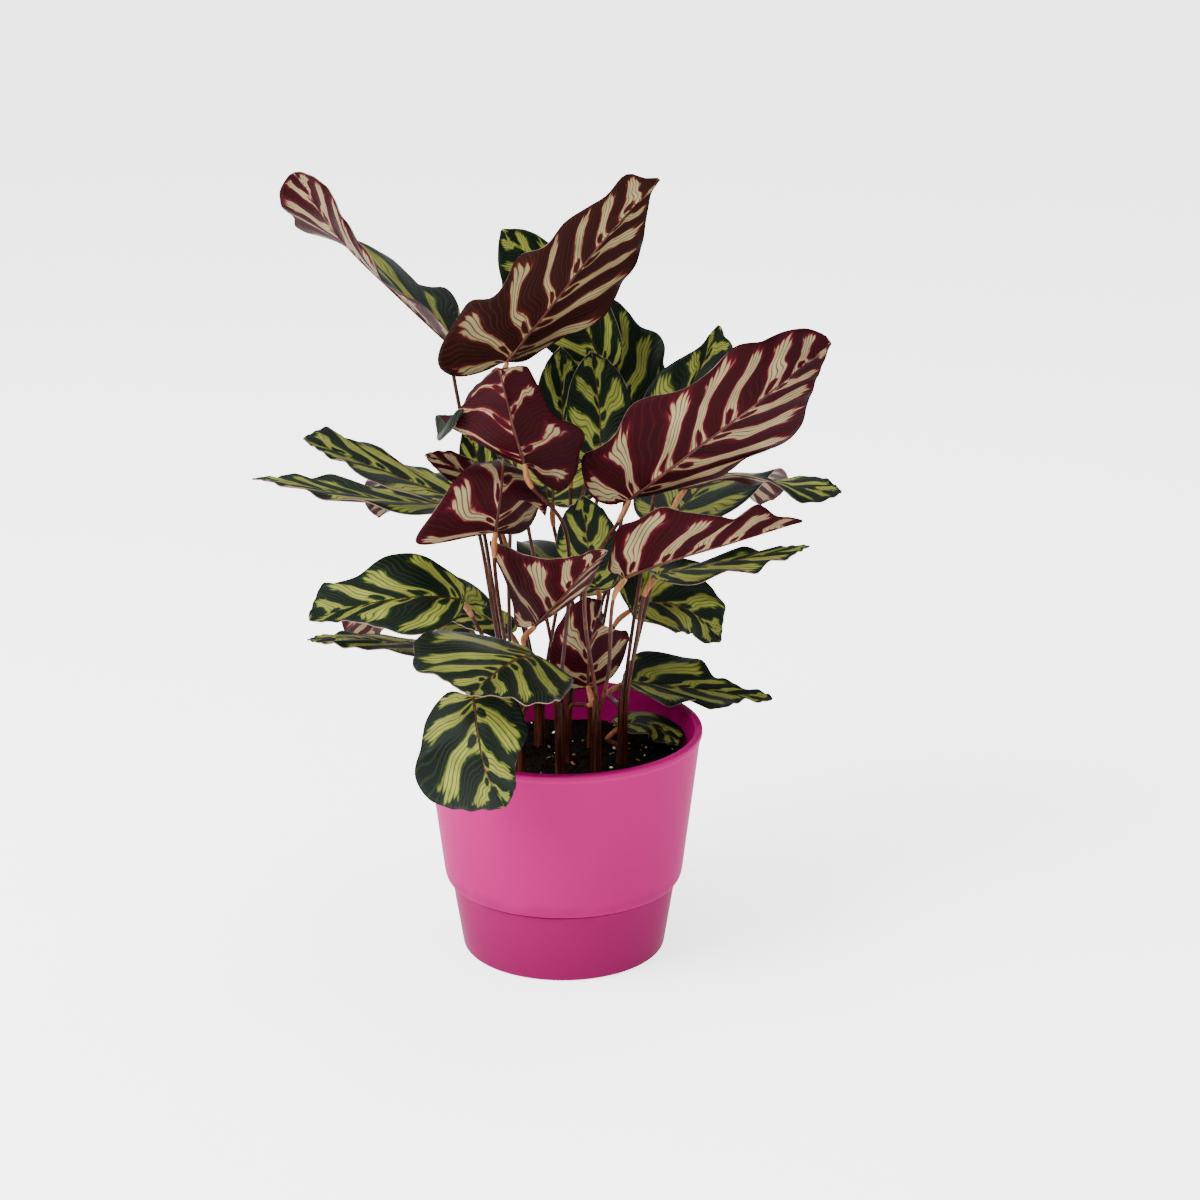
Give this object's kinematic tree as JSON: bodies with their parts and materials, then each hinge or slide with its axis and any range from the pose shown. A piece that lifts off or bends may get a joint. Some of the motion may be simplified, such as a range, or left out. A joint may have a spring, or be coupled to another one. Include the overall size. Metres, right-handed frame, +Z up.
{
  "type": "potted peacock plant",
  "caption": "Leafy houseplant with patterned oval leaves on slender stalks, standing in soil in a glazed round pot with a stepped foot; indoor decoration",
  "frame": {"origin": "centre of the pot's flat underside, on the surface that the pot stands on", "axes": "+Z up the pot's axis; -Y toward the front, the side with the lowest leaf over the rim; +X to the right as seen from the front"},
  "size_m": [0.3164, 0.2968, 0.425],
  "materials": {
    "glaze": "gloss",
    "soil": "matte",
    "stalk": "satin",
    "leaf": "satin"
  },
  "bodies": {
    "root": {"pot": "glaze", "soil": "soil", "shoot_front_left": "stalk", "shoot_left": "stalk", "shoot_front": "stalk", "shoot_front_right": "stalk", "shoot_right": "stalk", "shoot_middle": "stalk", "shoot_rear": "stalk", "shoot_rear_left": "stalk", "leaf_top_middle": "leaf", "leaf_top_left": "leaf", "leaf_upper_right": "leaf", "leaf_heart_upper": "leaf", "leaf_heart_lower": "leaf", "leaf_folded_front": "leaf", "leaf_middle_right": "leaf", "leaf_inner_curled": "leaf", "leaf_low_left": "leaf", "leaf_front_left": "leaf", "leaf_over_rim": "leaf", "leaf_far_left": "leaf", "leaf_far_left_low": "leaf", "leaf_left_sliver": "leaf", "leaf_left_inner": "leaf", "leaf_rear_peak": "leaf", "leaf_rear_broad": "leaf", "leaf_inner_pale": "leaf", "leaf_inner_dark": "leaf", "leaf_rear_right": "leaf", "leaf_far_right_strap": "leaf", "leaf_far_right_edge": "leaf", "leaf_low_right": "leaf", "leaf_rim_right": "leaf", "leaf_low_left_shade": "leaf", "leaf_in_pot": "leaf", "leaf_inner_olive": "leaf", "leaf_inner_bright": "leaf", "leaf_rear_high": "leaf", "leaf_rear_high_right": "leaf", "leaf_rear_high_left": "leaf", "leaf_rear_low": "leaf", "leaf_rear_low_left": "leaf"}
  },
  "joints": []
}
